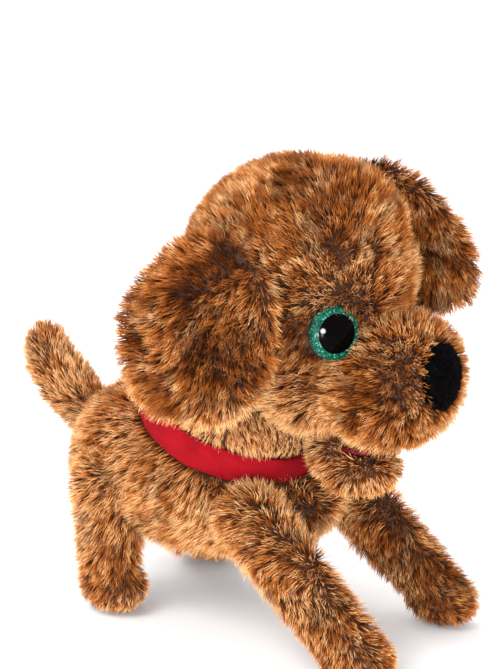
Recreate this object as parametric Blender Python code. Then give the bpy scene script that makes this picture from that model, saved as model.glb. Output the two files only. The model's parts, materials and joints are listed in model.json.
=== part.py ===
# Interactive plush puppy that walks, turns its head, opens its mouth and wags its tail.
#
# Lengths here are millimetres and MM turns them into metres as each mesh is written.
# The puppy stands on z = 0 and faces -Y, and +X is its own left side.

import math

import bpy
import bmesh
from mathutils import Matrix, Vector

MM = 0.001
FIT = 0.3

# Body
TORSO_CENTRE = (0, 12, 72)
TORSO_HALF = (50, 76, 38)
TORSO_POWER = 2.5
CHASSIS_HALF_WIDTH = 23
CHASSIS_WALL = 2
CHASSIS_PROFILE = [(-52, 57), (-51, 50), (70, 50), (70, 82), (-12, 82), (-30, 79), (-52, 70)]
CHASSIS_HOLLOW = [(-50, 58), (-49.3, 52), (68, 52), (68, 80), (-12, 80), (-30, 77), (-50, 69)]
BOSSES = [(-33, 72), (20, 76), (34, 54)]

# Neck and collar
NECK_TILT = math.radians(22)
NECK_BASE = Vector((0, -2, 101))
NECK_AXIS = Vector((0, -math.sin(NECK_TILT), math.cos(NECK_TILT)))
NECK_RADIUS = 44
NECK_HOLLOW = 36
NECK_TOP = 16
COLLAR_HALF_WIDTH = 7.3
COLLAR_THICK = 2.5
NOD_HEIGHT = 42

# Walking gear: both beams turn about vertical axles and swing forked levers under the hips
HIP_Z = 67
FRONT_HIP_Y = -42
REAR_HIP_Y = 47
LEVER = 12
BEAM_Z = HIP_Z - LEVER
BEAM_THICK = 3
SECTOR_RADIUS = 20
PINION_TEETH = 10
MODULE = 1.0
LINK_X = 6.5
TAIL_Y = 65
TAIL_PIN_Y = 59

# Legs
LEG_X = 41.5
LEG_HALF = 14.5
POCKET_X = 26
FRONT_PAW = (-99, 16)
REAR_PAW = (49, 16)

# Head
HEAD_CENTRE = (0, -39, 180)
HEAD_HALF = (55, 59, 57)
CHEEK_CENTRE = (0, -58, 133)
CHEEK_HALF = (42, 30, 28)
MUZZLE_CENTRE = (0, -97, 137)
MUZZLE_HALF = (34, 27, 31)
SHELL_CENTRE = (0, -37, 180)
SHELL_HALF = (38, 42, 38)
NOSE_CENTRE = (0, -119, 143)
NOSE_HALF = (16, 8, 16)
EYE_CENTRE = (34, -83.5, 166)
EYE_NORMAL = (0.5, -0.86, 0.08)
EYE_RADIUS = 12.5
JAW_PIVOT = (-64, 115)
JAW_CENTRE = (0, -80, 91)
JAW_HALF = (20, 22, 12)
JAW_LINING_Z = 99
MOUTH_ROOF_Z = 108

# Battery box under the chassis
CELL_RADIUS = 5.25
CELL_LENGTH = 44.5
CELL_Z = 42.5
BOX_Y = (-14, 38)


def finish(name, mesh_data, material, origin=(0, 0, 0)):
    """Writes world millimetres as an object whose origin sits at a given point."""
    pivot = Vector(origin)
    bmesh.ops.translate(mesh_data, verts=mesh_data.verts, vec=-pivot)
    bmesh.ops.scale(mesh_data, verts=mesh_data.verts, vec=(MM, MM, MM))
    bmesh.ops.recalc_face_normals(mesh_data, faces=mesh_data.faces)
    mesh = bpy.data.meshes.new(name)
    mesh_data.to_mesh(mesh)
    mesh_data.free()
    mesh.shade_smooth()
    mesh.set_sharp_from_angle(angle=math.radians(35))
    part = bpy.data.objects.new(name, mesh)
    part.location = pivot * MM
    bpy.context.scene.collection.objects.link(part)
    if material:
        mesh.materials.append(material)
    return part


def tool(name, mesh_data):
    """A hidden shape that other parts are joined with or cut by."""
    guide = finish(name + "_tool", mesh_data, None)
    guide.hide_render = True
    guide.display_type = "WIRE"
    return guide


def combine(part, shapes, operation):
    """Adds one exact Boolean that takes all the given shapes at once."""
    group = bpy.data.collections.new(f"{part.name}_{operation.lower()}")
    bpy.context.scene.collection.children.link(group)
    for shape in shapes:
        guide = tool(part.name, shape)
        bpy.context.scene.collection.objects.unlink(guide)
        group.objects.link(guide)
    step = part.modifiers.new(operation.title(), "BOOLEAN")
    step.operation = operation
    step.solver = "EXACT"
    step.operand_type = "COLLECTION"
    step.collection = group


def carve(part, *shapes):
    combine(part, shapes, "DIFFERENCE")


def unite(part, *shapes):
    combine(part, shapes, "UNION")


def block(low, high, bevel=0):
    """A box between two corners, with its edges rounded."""
    shape = bmesh.new()
    bmesh.ops.create_cube(shape, size=1)
    size = Vector(high) - Vector(low)
    bmesh.ops.scale(shape, verts=shape.verts, vec=size)
    bmesh.ops.translate(shape, verts=shape.verts, vec=(Vector(low) + Vector(high)) / 2)
    if bevel:
        bmesh.ops.bevel(shape, geom=shape.edges[:], offset=bevel, segments=2, profile=0.5, affect="EDGES")
    return shape


def turned(profile, base, axis, sides=16, closed=False):
    """Turns (radius, height) points about an axis; a closed profile makes a ring."""
    shape = bmesh.new()
    to_axis = Vector((0, 0, 1)).rotation_difference(Vector(axis)).to_matrix()
    rings = []
    for radius, height in profile:
        count = sides if radius > 0 else 1
        ring = []
        for i in range(count):
            angle = 2 * math.pi * i / sides
            local = Vector((radius * math.cos(angle), radius * math.sin(angle), height))
            ring.append(shape.verts.new(Vector(base) + to_axis @ local))
        rings.append(ring)
    pairs = list(zip(rings, rings[1:]))
    if closed:
        pairs.append((rings[-1], rings[0]))
    for lower, upper in pairs:
        for i in range(sides):
            j = (i + 1) % sides
            near, far = lower[i % len(lower)], lower[j % len(lower)]
            corners = [near, far, upper[j % len(upper)], upper[i % len(upper)]]
            shape.faces.new(list(dict.fromkeys(corners)))
    if not closed:
        for ring in (rings[0], rings[-1]):
            if len(ring) > 1:
                shape.faces.new(ring)
    return shape


def rod(start, end, radius, sides=16):
    """A plain round bar between two points."""
    run = Vector(end) - Vector(start)
    return turned([(radius, 0), (radius, run.length)], start, run, sides)


def cross_rod(y, z, x_from, x_to, radius, sides=16):
    """A round bar along X."""
    return rod((x_from, y, z), (x_to, y, z), radius, sides)


def ball(centre, half, power=2.0, columns=16, rows=8):
    """An ellipsoid, or a boxier rounded form where the power is above two."""
    shape = bmesh.new()
    rings = []
    for row in range(rows + 1):
        tilt = math.pi * (row / rows - 0.5)
        count = columns if 0 < row < rows else 1
        ring = []
        for i in range(count):
            turn = 2 * math.pi * i / columns
            flat = math.cos(tilt)
            unit = Vector((flat * math.cos(turn), flat * math.sin(turn), math.sin(tilt)))
            swell = sum(abs(part) ** power for part in unit) ** (-1 / power)
            spot = [c + h * u * swell for c, h, u in zip(centre, half, unit)]
            ring.append(shape.verts.new(spot))
        rings.append(ring)
    for lower, upper in zip(rings, rings[1:]):
        for i in range(columns):
            j = (i + 1) % columns
            near, far = lower[i % len(lower)], lower[j % len(lower)]
            corners = [near, far, upper[j % len(upper)], upper[i % len(upper)]]
            shape.faces.new(list(dict.fromkeys(corners)))
    return shape


def slab(outline, x_from, x_to):
    """A side outline of (y, z) points with a thickness along X."""
    shape = bmesh.new()
    near = [shape.verts.new((x_from, y, z)) for y, z in outline]
    far = [shape.verts.new((x_to, y, z)) for y, z in outline]
    shape.faces.new(near)
    shape.faces.new(far)
    for i in range(len(outline)):
        j = (i + 1) % len(outline)
        shape.faces.new((near[i], near[j], far[j], far[i]))
    return shape


def plate(outline, z_from, z_to):
    """A plan outline of (x, y) points with a thickness along Z."""
    shape = bmesh.new()
    low = [shape.verts.new((x, y, z_from)) for x, y in outline]
    high = [shape.verts.new((x, y, z_to)) for x, y in outline]
    shape.faces.new(low)
    shape.faces.new(high)
    for i in range(len(outline)):
        j = (i + 1) % len(outline)
        shape.faces.new((low[i], low[j], high[j], high[i]))
    return shape


def limb(stations, x_centre, x_ratio, columns=14):
    """A stuffed limb through (y, z, radius) stations, with a rounded closing at both ends."""
    shape = bmesh.new()
    spots = [Vector((x_centre, y, z)) for y, z, radius in stations]
    rings = []
    last = len(stations) - 1
    for i, (y, z, radius) in enumerate(stations):
        along = (spots[min(i + 1, last)] - spots[max(i - 1, 0)]).normalized()
        across = along.cross(Vector((1, 0, 0)))
        ring = []
        for k in range(columns):
            turn = 2 * math.pi * k / columns
            side = Vector((1, 0, 0)) * radius * x_ratio * math.cos(turn)
            ring.append(shape.verts.new(spots[i] + side + across * radius * math.sin(turn)))
        rings.append(ring)
    for lower, upper in zip(rings, rings[1:]):
        for k in range(columns):
            m = (k + 1) % columns
            shape.faces.new((lower[k], lower[m], upper[m], upper[k]))
    shape.faces.new(rings[0])
    shape.faces.new(rings[-1])
    return shape


def rounded(start, end, radius_start, radius_end):
    """Stations from one round end to the other, with the ends drawn in as domes."""
    first = Vector(start)
    last = Vector(end)
    along = (last - first).normalized()
    stations = []
    for degrees in (75, 50, 25):
        spot = first - along * radius_start * math.sin(math.radians(degrees))
        stations.append((spot.x, spot.y, radius_start * math.cos(math.radians(degrees))))
    stations.append((first.x, first.y, radius_start))
    stations.append((last.x, last.y, radius_end))
    for degrees in (25, 50, 75):
        spot = last + along * radius_end * math.sin(math.radians(degrees))
        stations.append((spot.x, spot.y, radius_end * math.cos(math.radians(degrees))))
    return stations


def material(name, colour, roughness, metallic=0.0):
    """A plain surface of one colour."""
    surface = bpy.data.materials.new(name)
    surface.use_nodes = True
    shader = surface.node_tree.nodes["Principled BSDF"]
    shader.inputs["Base Color"].default_value = (*colour, 1)
    shader.inputs["Roughness"].default_value = roughness
    shader.inputs["Metallic"].default_value = metallic
    surface.diffuse_color = (*colour, 1)
    return surface


def on_neck(height):
    """The point at a height along the neck's axis, measured from the collar's middle."""
    return NECK_BASE + NECK_AXIS * height


def clear_scene():
    for old in list(bpy.data.objects):
        bpy.data.objects.remove(old, do_unlink=True)


def leg_pocket(hip_y, lean, side):
    """Room beside the body for a leg that swings about its hip."""
    outline = []
    for step in range(13):
        turn = lean + math.radians(70 + step * 220 / 12)
        outline.append((hip_y + 21 * math.cos(turn), HIP_Z + 21 * math.sin(turn)))
    for spread in (-38, 38):
        turn = lean + math.radians(spread)
        outline.append((hip_y + 80 * math.cos(turn), HIP_Z + 80 * math.sin(turn)))
    return slab(outline, side * POCKET_X, side * 80)


def lean_of(hip_y, paw):
    return math.atan2(paw[1] - HIP_Z, paw[0] - hip_y)


def make_torso(plush, felt):
    """Stuffed body with a neck tube, and the felt collar round the neck."""
    torso = finish("torso_plush", ball(TORSO_CENTRE, TORSO_HALF, TORSO_POWER, 24, 12), plush)
    carve(torso, rod(on_neck(-1), on_neck(60), 100, 20))
    carve(torso, rod(on_neck(-COLLAR_HALF_WIDTH - FIT), on_neck(58), NECK_RADIUS + 12, 22))
    unite(torso, rod(on_neck(-26), on_neck(NECK_TOP), NECK_RADIUS, 28))
    room = CHASSIS_HALF_WIDTH + 1
    hollows = [
        block((-room, -53, 48.6), (room, 71, 83.4)),
        rod(on_neck(-27), on_neck(NECK_TOP + 1), NECK_HOLLOW, 20),
        block((-21.5, BOX_Y[0] - 2, 20), (21.5, 60, 50)),
        rod((0, -32, 45), (0, -32, 50), 11),
        rod((0, 48, 82), (0, 48, 93), 11),
        block((-13, 60, 82), (13, 100, 100)),
        rod((0, 92, 81.5), (0, 92, 120), 23),
    ]
    for hip_y, paw in ((FRONT_HIP_Y, FRONT_PAW), (REAR_HIP_Y, REAR_PAW)):
        hollows.append(cross_rod(hip_y, HIP_Z, -POCKET_X - 1, POCKET_X + 1, 5.6))
        for side in (-1, 1):
            hollows.append(leg_pocket(hip_y, lean_of(hip_y, paw), side))
    carve(torso, *hollows)
    ring = [
        (NECK_RADIUS + FIT, -COLLAR_HALF_WIDTH),
        (NECK_RADIUS + FIT + COLLAR_THICK, -COLLAR_HALF_WIDTH),
        (NECK_RADIUS + FIT + COLLAR_THICK, COLLAR_HALF_WIDTH),
        (NECK_RADIUS + FIT, COLLAR_HALF_WIDTH),
    ]
    finish("collar", turned(ring, NECK_BASE, NECK_AXIS, 28, closed=True), felt)


def make_chassis(plastic, steel):
    """Two moulded halves joined by screws, with a bush for each hip shaft."""
    for name, side in (("chassis_left", 1), ("chassis_right", -1)):
        half = finish(name, slab(CHASSIS_PROFILE, side * 0.15, side * CHASSIS_HALF_WIDTH), plastic)
        inner_wall = side * (CHASSIS_HALF_WIDTH - CHASSIS_WALL)
        carve(half, slab(CHASSIS_HOLLOW, -side, inner_wall))
        for hip_y in (FRONT_HIP_Y, REAR_HIP_Y):
            carve(half, cross_rod(hip_y, HIP_Z, side * 15, side * 30, 6.2))
        carve(half, rod((0, TAIL_Y, 75), (0, TAIL_Y, 90), 3.1, 12))
        carve(half, rod((0, 48, 75), (0, 48, 90), 2.6, 12))
        for y, z in BOSSES:
            unite(half, cross_rod(y, z, side * 0.15, inner_wall + side, 3.0, 12))
            if side > 0:
                carve(half, cross_rod(y, z, 8, 40, 2.3, 12), cross_rod(y, z, -1, 10, 1.4, 12))
            else:
                carve(half, cross_rod(y, z, 1, -11, 1.4, 12))
    for number, (y, z) in enumerate(BOSSES, 1):
        screw = [(0, 10.3), (1.6, 10.3), (2.0, 9.9), (2.0, 8.3), (1.1, 8.3), (1.1, -9), (0, -10)]
        finish(f"chassis_screw_{number}", turned(screw, (0, y, z), (1, 0, 0), 12), steel)
    for hip_name, hip_y in (("front", FRONT_HIP_Y), ("rear", REAR_HIP_Y)):
        for side_name, side in (("left", 1), ("right", -1)):
            sleeve = [(4.9, 20.6), (5.9, 20.6), (5.9, 23.6), (4.9, 23.6)]
            bush = turned(sleeve, (0, hip_y, HIP_Z), (side, 0, 0), closed=True)
            finish(f"{hip_name}_{side_name}_bush", bush, plastic)
        finish(f"{hip_name}_axle", rod((0, hip_y, 52.3), (0, hip_y, 59.5), 1.5, 12), steel)


def tooth_outline(centre, teeth, first, count, start):
    """Pointed-trapezium teeth of a wheel: the count that lie on from an angle."""
    pitch_radius = MODULE * teeth / 2
    pitch = 2 * math.pi / teeth
    outline = []
    for k in range(first, first + count):
        middle = start + k * pitch
        for radius, half in (
            (pitch_radius - 1.25 * MODULE, 0.30),
            (pitch_radius + 0.8 * MODULE, 0.10),
        ):
            outline.append((radius, middle - half * pitch))
        for radius, half in (
            (pitch_radius + 0.8 * MODULE, 0.10),
            (pitch_radius - 1.25 * MODULE, 0.30),
        ):
            outline.append((radius, middle + half * pitch))
    return [(centre[0] + r * math.cos(a), centre[1] + r * math.sin(a)) for r, a in outline]


def make_beams(gear_plastic):
    """Front beam with its toothed sector, rear beam with the tail pin, and the link between."""
    low = BEAM_Z - BEAM_THICK / 2
    high = BEAM_Z + BEAM_THICK / 2
    for name, hip_y in (("front_beam", FRONT_HIP_Y), ("rear_beam", REAR_HIP_Y)):
        pivot = (0, hip_y, BEAM_Z)
        beam = finish(name, rod((0, hip_y, low), (0, hip_y, high), 4.5), gear_plastic, pivot)
        unite(beam, block((-9, hip_y - 2.5, low), (9, hip_y + 2.5, high)))
        unite(beam, cross_rod(hip_y, BEAM_Z, -14.6, 14.6, 1.25, 12))
        unite(beam, rod((LINK_X, hip_y, BEAM_Z), (LINK_X, hip_y, 60), 1.2, 12))
        if hip_y == FRONT_HIP_Y:
            teeth = tooth_outline((0, hip_y), 2 * SECTOR_RADIUS, -3, 7, math.pi / 2)
            unite(beam, plate([(3, hip_y), *teeth, (-3, hip_y)], low, high))
        else:
            unite(beam, block((-2, hip_y, low), (2, TAIL_PIN_Y + 1.5, high)))
            unite(beam, rod((0, TAIL_PIN_Y, BEAM_Z), (0, TAIL_PIN_Y, 61), 1.2, 12))
        carve(beam, rod((0, hip_y, low - 1), (0, hip_y, high + 1), 1.8, 12))
    link_low = high + 0.8
    link_high = link_low + 2
    pivot = (LINK_X, FRONT_HIP_Y, link_low)
    bar = block((LINK_X - 2, FRONT_HIP_Y, link_low), (LINK_X + 2, REAR_HIP_Y, link_high))
    link = finish("beam_link", bar, gear_plastic, pivot)
    for hip_y in (FRONT_HIP_Y, REAR_HIP_Y):
        unite(link, rod((LINK_X, hip_y, link_low), (LINK_X, hip_y, link_high), 3, 12))
    for hip_y, play in ((FRONT_HIP_Y, 1.5), (REAR_HIP_Y, 1.8)):
        carve(link, rod((LINK_X, hip_y, link_low - 1), (LINK_X, hip_y, link_high + 1), play, 12))
    pinion_y = FRONT_HIP_Y + SECTOR_RADIUS + MODULE * PINION_TEETH / 2
    half_pitch = math.pi / PINION_TEETH
    teeth = tooth_outline((0, pinion_y), PINION_TEETH, 0, PINION_TEETH, -math.pi / 2 + half_pitch)
    pinion = finish("motor_pinion", plate(teeth, low, high), gear_plastic, (0, pinion_y, BEAM_Z))
    unite(pinion, rod((0, pinion_y, BEAM_Z), (0, pinion_y, 68), 1.5, 12))
    return pinion_y


def make_drive(pinion_y, metal, board_green, plastic):
    """Gearmotor, circuit board, speaker and the neck's own motor on its wedge."""
    motor = finish("drive_motor", block((-8.5, -28, 61), (8.5, 11, 75.5), 1.5), metal)
    carve(motor, rod((0, pinion_y, 60), (0, pinion_y, 69), 1.8, 12))
    board = finish("circuit_board", block((-19, 26, 74.4), (19, 60, 76)), board_green)
    unite(board, block((-3, 45, 75.5), (3, 51, 77.5)))
    carve(board, block((-14, 58, 70), (14, 70, 80)))
    cone = [(0, 46.4), (3.5, 46.4), (8.5, 45.4), (9.7, 45.4), (9.7, 47.6), (6, 49.6), (0, 49.6)]
    finish("speaker", turned(cone, (0, -32, 0), (0, 0, 1)), metal)
    wedge = [(-9, 82.3), (19, 82.3)]
    across = Vector((0, math.cos(NECK_TILT), math.sin(NECK_TILT)))
    for reach in (12, -13):
        corner = on_neck(-9.3) + across * reach
        wedge.append((corner.y, corner.z))
    finish("neck_bracket", slab(wedge, -13, 13), plastic)
    neck_motor = finish("neck_motor", rod(on_neck(-9), on_neck(11.5), 13), metal)
    carve(neck_motor, rod(on_neck(-4), on_neck(13), 3.3, 12))


def make_battery(plastic, cell_skin, steel):
    """Battery box with three small cells, end contacts, sliding switch and the screwed door."""
    low_y, high_y = BOX_Y
    box = finish("battery_box", block((-19.5, low_y, 36.9), (19.5, high_y, 49.7)), plastic)
    carve(box, block((-17.7, low_y + 1.5, 30), (17.7, high_y - 1.5, 48.2)))
    middle_y = (low_y + high_y) / 2
    for number, x in enumerate((-11.4, 0, 11.4), 1):
        button_end = 1 if number % 2 else -1
        cell = [(0, 0), (4.6, 0), (CELL_RADIUS, 0.6), (CELL_RADIUS, 43.1), (4.6, 43.6)]
        cell += [(1.9, 43.6), (1.9, CELL_LENGTH), (0, CELL_LENGTH)]
        start = (x, middle_y - button_end * CELL_LENGTH / 2, CELL_Z)
        finish(f"battery_{number}", turned(cell, start, (0, button_end, 0), 12), cell_skin)
    for name, y in (("contact_front", low_y + 1.9), ("contact_rear", high_y - 2.7)):
        finish(name, block((-16.5, y, 38.5), (16.5, y + 0.8, 47.2)), steel)
    door = finish("battery_door", block((-20.5, low_y - 0.5, 34.6), (20.5, high_y + 5, 36.6)), plastic)
    carve(door, rod((0, high_y + 2.5, 30), (0, high_y + 2.5, 40), 1.5, 12))
    carve(door, rod((0, high_y + 2.5, 30), (0, high_y + 2.5, 35.4), 2.9, 12))
    screw = [(0, 34.7), (2.5, 34.7), (2.5, 35.1), (1.2, 35.1), (1.2, 41), (0, 41)]
    finish("door_screw", turned(screw, (0, high_y + 2.5, 0), (0, 0, 1), 12), steel)
    guide = finish("switch_plate", block((-9, 46, 44.5), (9, 57, 49.7), 0.8), plastic)
    carve(guide, block((-5.6, 49.6, 40), (5.6, 53.4, 48.4)))
    knob = finish("power_switch", block((-5, 50, 44.2), (1, 53, 48), 0.4), cell_skin, (-2, 51.5, 46))
    unite(knob, block((-3.4, 50.3, 42.2), (-0.6, 52.7, 45)))
    cap = [(0, 79.4), (2, 79.4), (2, 85), (8.5, 85), (9, 85.5), (9, 88), (7.5, 89.2), (0, 89.6)]
    button = turned(cap, (0, 48, 0), (0, 0, 1))
    finish("back_button", button, plastic, (0, 48, 85))


def make_leg(end_name, side_name, side, hip_y, paw, plush, plastic):
    """A stuffed leg on a moulded core: outer bar, hip shaft and forked lever in one piece."""
    pivot = (side * LEG_X, hip_y, HIP_Z)
    hip = Vector((hip_y, HIP_Z))
    foot = Vector(paw)
    knee = hip.lerp(foot, 0.72)

    def core_shape(grow):
        bar = rounded(hip, knee, 6 + grow, 4.5 + grow)
        shapes = [limb(bar, side * (LEG_X - 3), 0.55, 8)]
        shapes.append(cross_rod(hip_y, HIP_Z, side * 9.5, side * (LEG_X - 2), 4.5 + grow, 12))
        return shapes

    core_bar, shaft = core_shape(0)
    core = finish(f"{end_name}_{side_name}_leg_core", core_bar, plastic, (0, hip_y, HIP_Z))
    unite(core, shaft)
    lever_in = side * 10.5
    lever_out = side * 13.5
    fork = [(-3.6, 0), (3.6, 0), (3.6, -LEVER - 2.5), (-3.6, -LEVER - 2.5)]
    unite(core, slab([(hip_y + y, HIP_Z + z) for y, z in fork], lever_in, lever_out))
    slot = [(-2, 5 - LEVER), (2, 5 - LEVER), (2, -LEVER - 8), (-2, -LEVER - 8)]
    carve(core, slab([(hip_y + y, HIP_Z + z) for y, z in slot], side * 10, side * 14))

    name = f"{end_name}_{side_name}_leg_plush"
    upper = 17.5 if end_name == "front" else 18.5
    stations = rounded(hip, foot, upper, 15)
    leg = finish(name, limb(stations, side * LEG_X, LEG_HALF / upper), plush, pivot)
    unite(leg, ball((side * LEG_X, paw[0] - 4, 14), (15, 21, 15.5), 2.2, 14, 7))
    carve(leg, block((side * 10, -140, -20), (side * 80, 120, 0)))
    for shape in core_shape(0.5):
        carve(leg, shape)


def make_tail(plush, plastic):
    """Wagging tail: a bent moulded core that turns in the chassis, inside a stuffed sleeve."""
    pivot = (0, TAIL_Y, BEAM_Z)
    core = finish("tail_core", rod((0, TAIL_Y, 53), (0, TAIL_Y, 88), 2.5, 12), plastic, pivot)
    unite(core, block((-4, TAIL_PIN_Y - 3, 57.6), (4, TAIL_Y, 60.2)))
    carve(core, block((-1.8, TAIL_PIN_Y - 5, 56), (1.8, TAIL_PIN_Y + 2.6, 62)))
    arm = [(63, 87.5, 2.6), (72, 88, 2.6), (86, 91, 2.6), (96, 99, 2.4), (106, 111, 2.2), (110, 117, 1.6)]
    unite(core, limb(arm, 0, 1, 12))
    stations = [(88, 88.5, 5), (90.5, 90.5, 9.5), (95, 93.5, 12), (104, 101, 12.5), (112, 111, 12.5)]
    stations += [(116.5, 120, 11.5), (118.5, 127, 9.5), (119.5, 131, 7), (120, 134, 3)]
    tail = finish("tail_plush", limb(stations, 0, 1), plush, pivot)
    sleeve = [(y, z, radius + 0.5) for y, z, radius in arm]
    sleeve[-1] = (110.5, 117.7, 2.1)
    carve(tail, limb(sleeve, 0, 1, 12))


def make_neck(plastic):
    """Neck post that turns the head, with the eye of the nod joint on top."""
    nod = on_neck(NOD_HEIGHT)
    post = finish("neck_post", rod(on_neck(-3.5), on_neck(13), 3, 12), plastic, NECK_BASE)
    unite(post, rod(on_neck(12), on_neck(14), 9, 20))
    unite(post, rod(on_neck(13.5), on_neck(NOD_HEIGHT - 3.6), 4.5, 12))
    unite(post, cross_rod(nod.y, nod.z, -7, 7, 6))
    carve(post, cross_rod(nod.y, nod.z, -9, 9, 2.3, 12))
    return nod


def make_head(nod, plush, plastic, metal, steel, felt, black_cloth, eye_gloss):
    """Head plush over a moulded shell that hangs on the nod axle, with eyes and nose."""
    head = finish("head_plush", ball(HEAD_CENTRE, HEAD_HALF, 2.1, 22, 11), plush, nod)
    unite(head, ball(CHEEK_CENTRE, CHEEK_HALF), ball(MUZZLE_CENTRE, MUZZLE_HALF, 2.1))
    hollows = [
        ball(SHELL_CENTRE, [half + 0.5 for half in SHELL_HALF]),
        rod(on_neck(-10), on_neck(24), 49, 28),
        rod(on_neck(20), on_neck(58), 27, 20),
        block((-14, -78, 85), (14, -50, 129)),
        block((-6.8, -71.4, 124), (6.8, -56.6, 151)),
        block((-17.5, -113, 90), (17.5, -76, MOUTH_ROOF_Z + 1)),
        ball(NOSE_CENTRE, [half + 0.4 for half in NOSE_HALF], 2.0, 16, 8),
    ]

    shell = finish("head_shell", ball(SHELL_CENTRE, SHELL_HALF), plastic, nod)
    carve(shell, ball(SHELL_CENTRE, [half - 2.5 for half in SHELL_HALF]))
    carve(shell, block((-7.6, nod.y - 12, 125), (7.6, nod.y + 12, 156)))
    for side in (-1, 1):
        unite(shell, block((side * 7.6, nod.y - 6, nod.z - 6), (side * 10.4, nod.y + 6, 152)))
    carve(shell, cross_rod(nod.y, nod.z, -13, 13, 2.3, 12))
    unite(shell, block((-6, -70.5, 128.4), (6, -57.5, 150.5)))

    finish("nod_axle", cross_rod(nod.y, nod.z, -12, 12, 2, 12), steel, nod)
    finish("nose", ball(NOSE_CENTRE, NOSE_HALF, 2.0, 16, 8), black_cloth, nod)
    roof = block((-16.5, -112, MOUTH_ROOF_Z - 1.3), (16.5, -79, MOUTH_ROOF_Z + 0.6), 0.6)
    finish("mouth_lining", roof, felt, nod)
    jaw_y, jaw_z = JAW_PIVOT
    mouth_motor = finish("mouth_motor", block((-8, -73, 109), (8, -56, 128), 1.2), metal, nod)
    carve(mouth_motor, cross_rod(jaw_y, jaw_z, -12, 12, 2.3, 12))
    for side_name, side in (("left", 1), ("right", -1)):
        normal = Vector((side * EYE_NORMAL[0], EYE_NORMAL[1], EYE_NORMAL[2])).normalized()
        centre = Vector((side * EYE_CENTRE[0], EYE_CENTRE[1], EYE_CENTRE[2]))
        dome = [(0, -13), (2, -13), (2, -3), (EYE_RADIUS - 0.6, -3), (EYE_RADIUS, -2.2)]
        dome += [(EYE_RADIUS, -1), (EYE_RADIUS * 0.88, 1.3), (EYE_RADIUS * 0.6, 3.2)]
        dome += [(EYE_RADIUS * 0.3, 4.2), (0, 4.5)]
        finish(f"eye_{side_name}", turned(dome, centre, normal, 20), eye_gloss, nod)
        hollows.append(rod(centre - normal * 3.3, centre + normal * 20, EYE_RADIUS + 0.4, 20))
        hollows.append(rod(centre - normal * 14, centre, 2.4, 12))
        hollows.append(rod(centre - normal * 10.4, centre - normal * 8.2, 7, 12))
        washer_rim = [(2.3, 0), (6.6, 0), (6.6, 1.5), (2.3, 1.5)]
        washer = turned(washer_rim, centre - normal * 10, normal, 16, True)
        finish(f"eye_washer_{side_name}", washer, plastic, nod)
    carve(head, *hollows)


def make_jaw(plush, plastic, felt, steel):
    """Lower jaw on two arms that turn on the mouth axle."""
    jaw_y, jaw_z = JAW_PIVOT
    pivot = (0, jaw_y, jaw_z)
    finish("jaw_axle", cross_rod(jaw_y, jaw_z, -12.4, 12.4, 2, 12), steel, pivot)
    arm = [(jaw_y - 5, jaw_z), (jaw_y - 3, jaw_z + 4), (jaw_y + 3, jaw_z + 4), (jaw_y + 5, jaw_z)]
    arm += [(-62, 92), (-64, 88), (-72, 88), (-72, 91)]
    core = finish("jaw_core", block((-12, -92, 88), (12, -66, 91)), plastic, pivot)
    for side in (-1, 1):
        unite(core, slab(arm, side * 9, side * 12))
    carve(core, cross_rod(jaw_y, jaw_z, -14, 14, 2.3, 12))
    jaw = finish("jaw_plush", ball(JAW_CENTRE, JAW_HALF, 2.2), plush, pivot)
    carve(jaw, block((-30, -110, JAW_LINING_Z), (30, -50, 120)))
    carve(jaw, block((-12.5, -92.5, 87.5), (12.5, -55, 91.5)), block((-12.5, -73, 87.5), (12.5, -50, 110)))
    pad = [(-9, -74), (9, -74), (14, -79), (15, -86), (12, -94)]
    pad += [(6, -99), (-6, -99), (-12, -94), (-15, -86), (-14, -79)]
    finish("jaw_lining", plate(pad, JAW_LINING_Z + FIT, JAW_LINING_Z + 2.3), felt, pivot)


def make_ears(plush):
    """Floppy ear flaps: the left one stands out and forward, the right one hangs."""
    right = ball((0, 0, 0), (7, 45, 45), 2.2)
    bmesh.ops.rotate(right, verts=right.verts, matrix=Matrix.Rotation(math.radians(15), 3, "Y"))
    bmesh.ops.translate(right, verts=right.verts, vec=(-71, -29, 168.5))
    finish("ear_right", right, plush, (-58, -29, 212))
    long_way = Vector((0.40, -0.50, -0.77)).normalized()
    seam = Vector((0, 1, 0))
    width_way = (seam - long_way * seam.dot(long_way)).normalized()
    face = width_way.cross(long_way)
    left = ball((0, 0, 0), (7, 38, 44), 2.2)
    turn = Matrix((face, width_way, long_way)).transposed()
    bmesh.ops.rotate(left, verts=left.verts, matrix=turn)
    bmesh.ops.translate(left, verts=left.verts, vec=Vector((48.3, -43, 226)) + long_way * 44)
    finish("ear_left", left, plush, (48.3, -43, 224))


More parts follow.
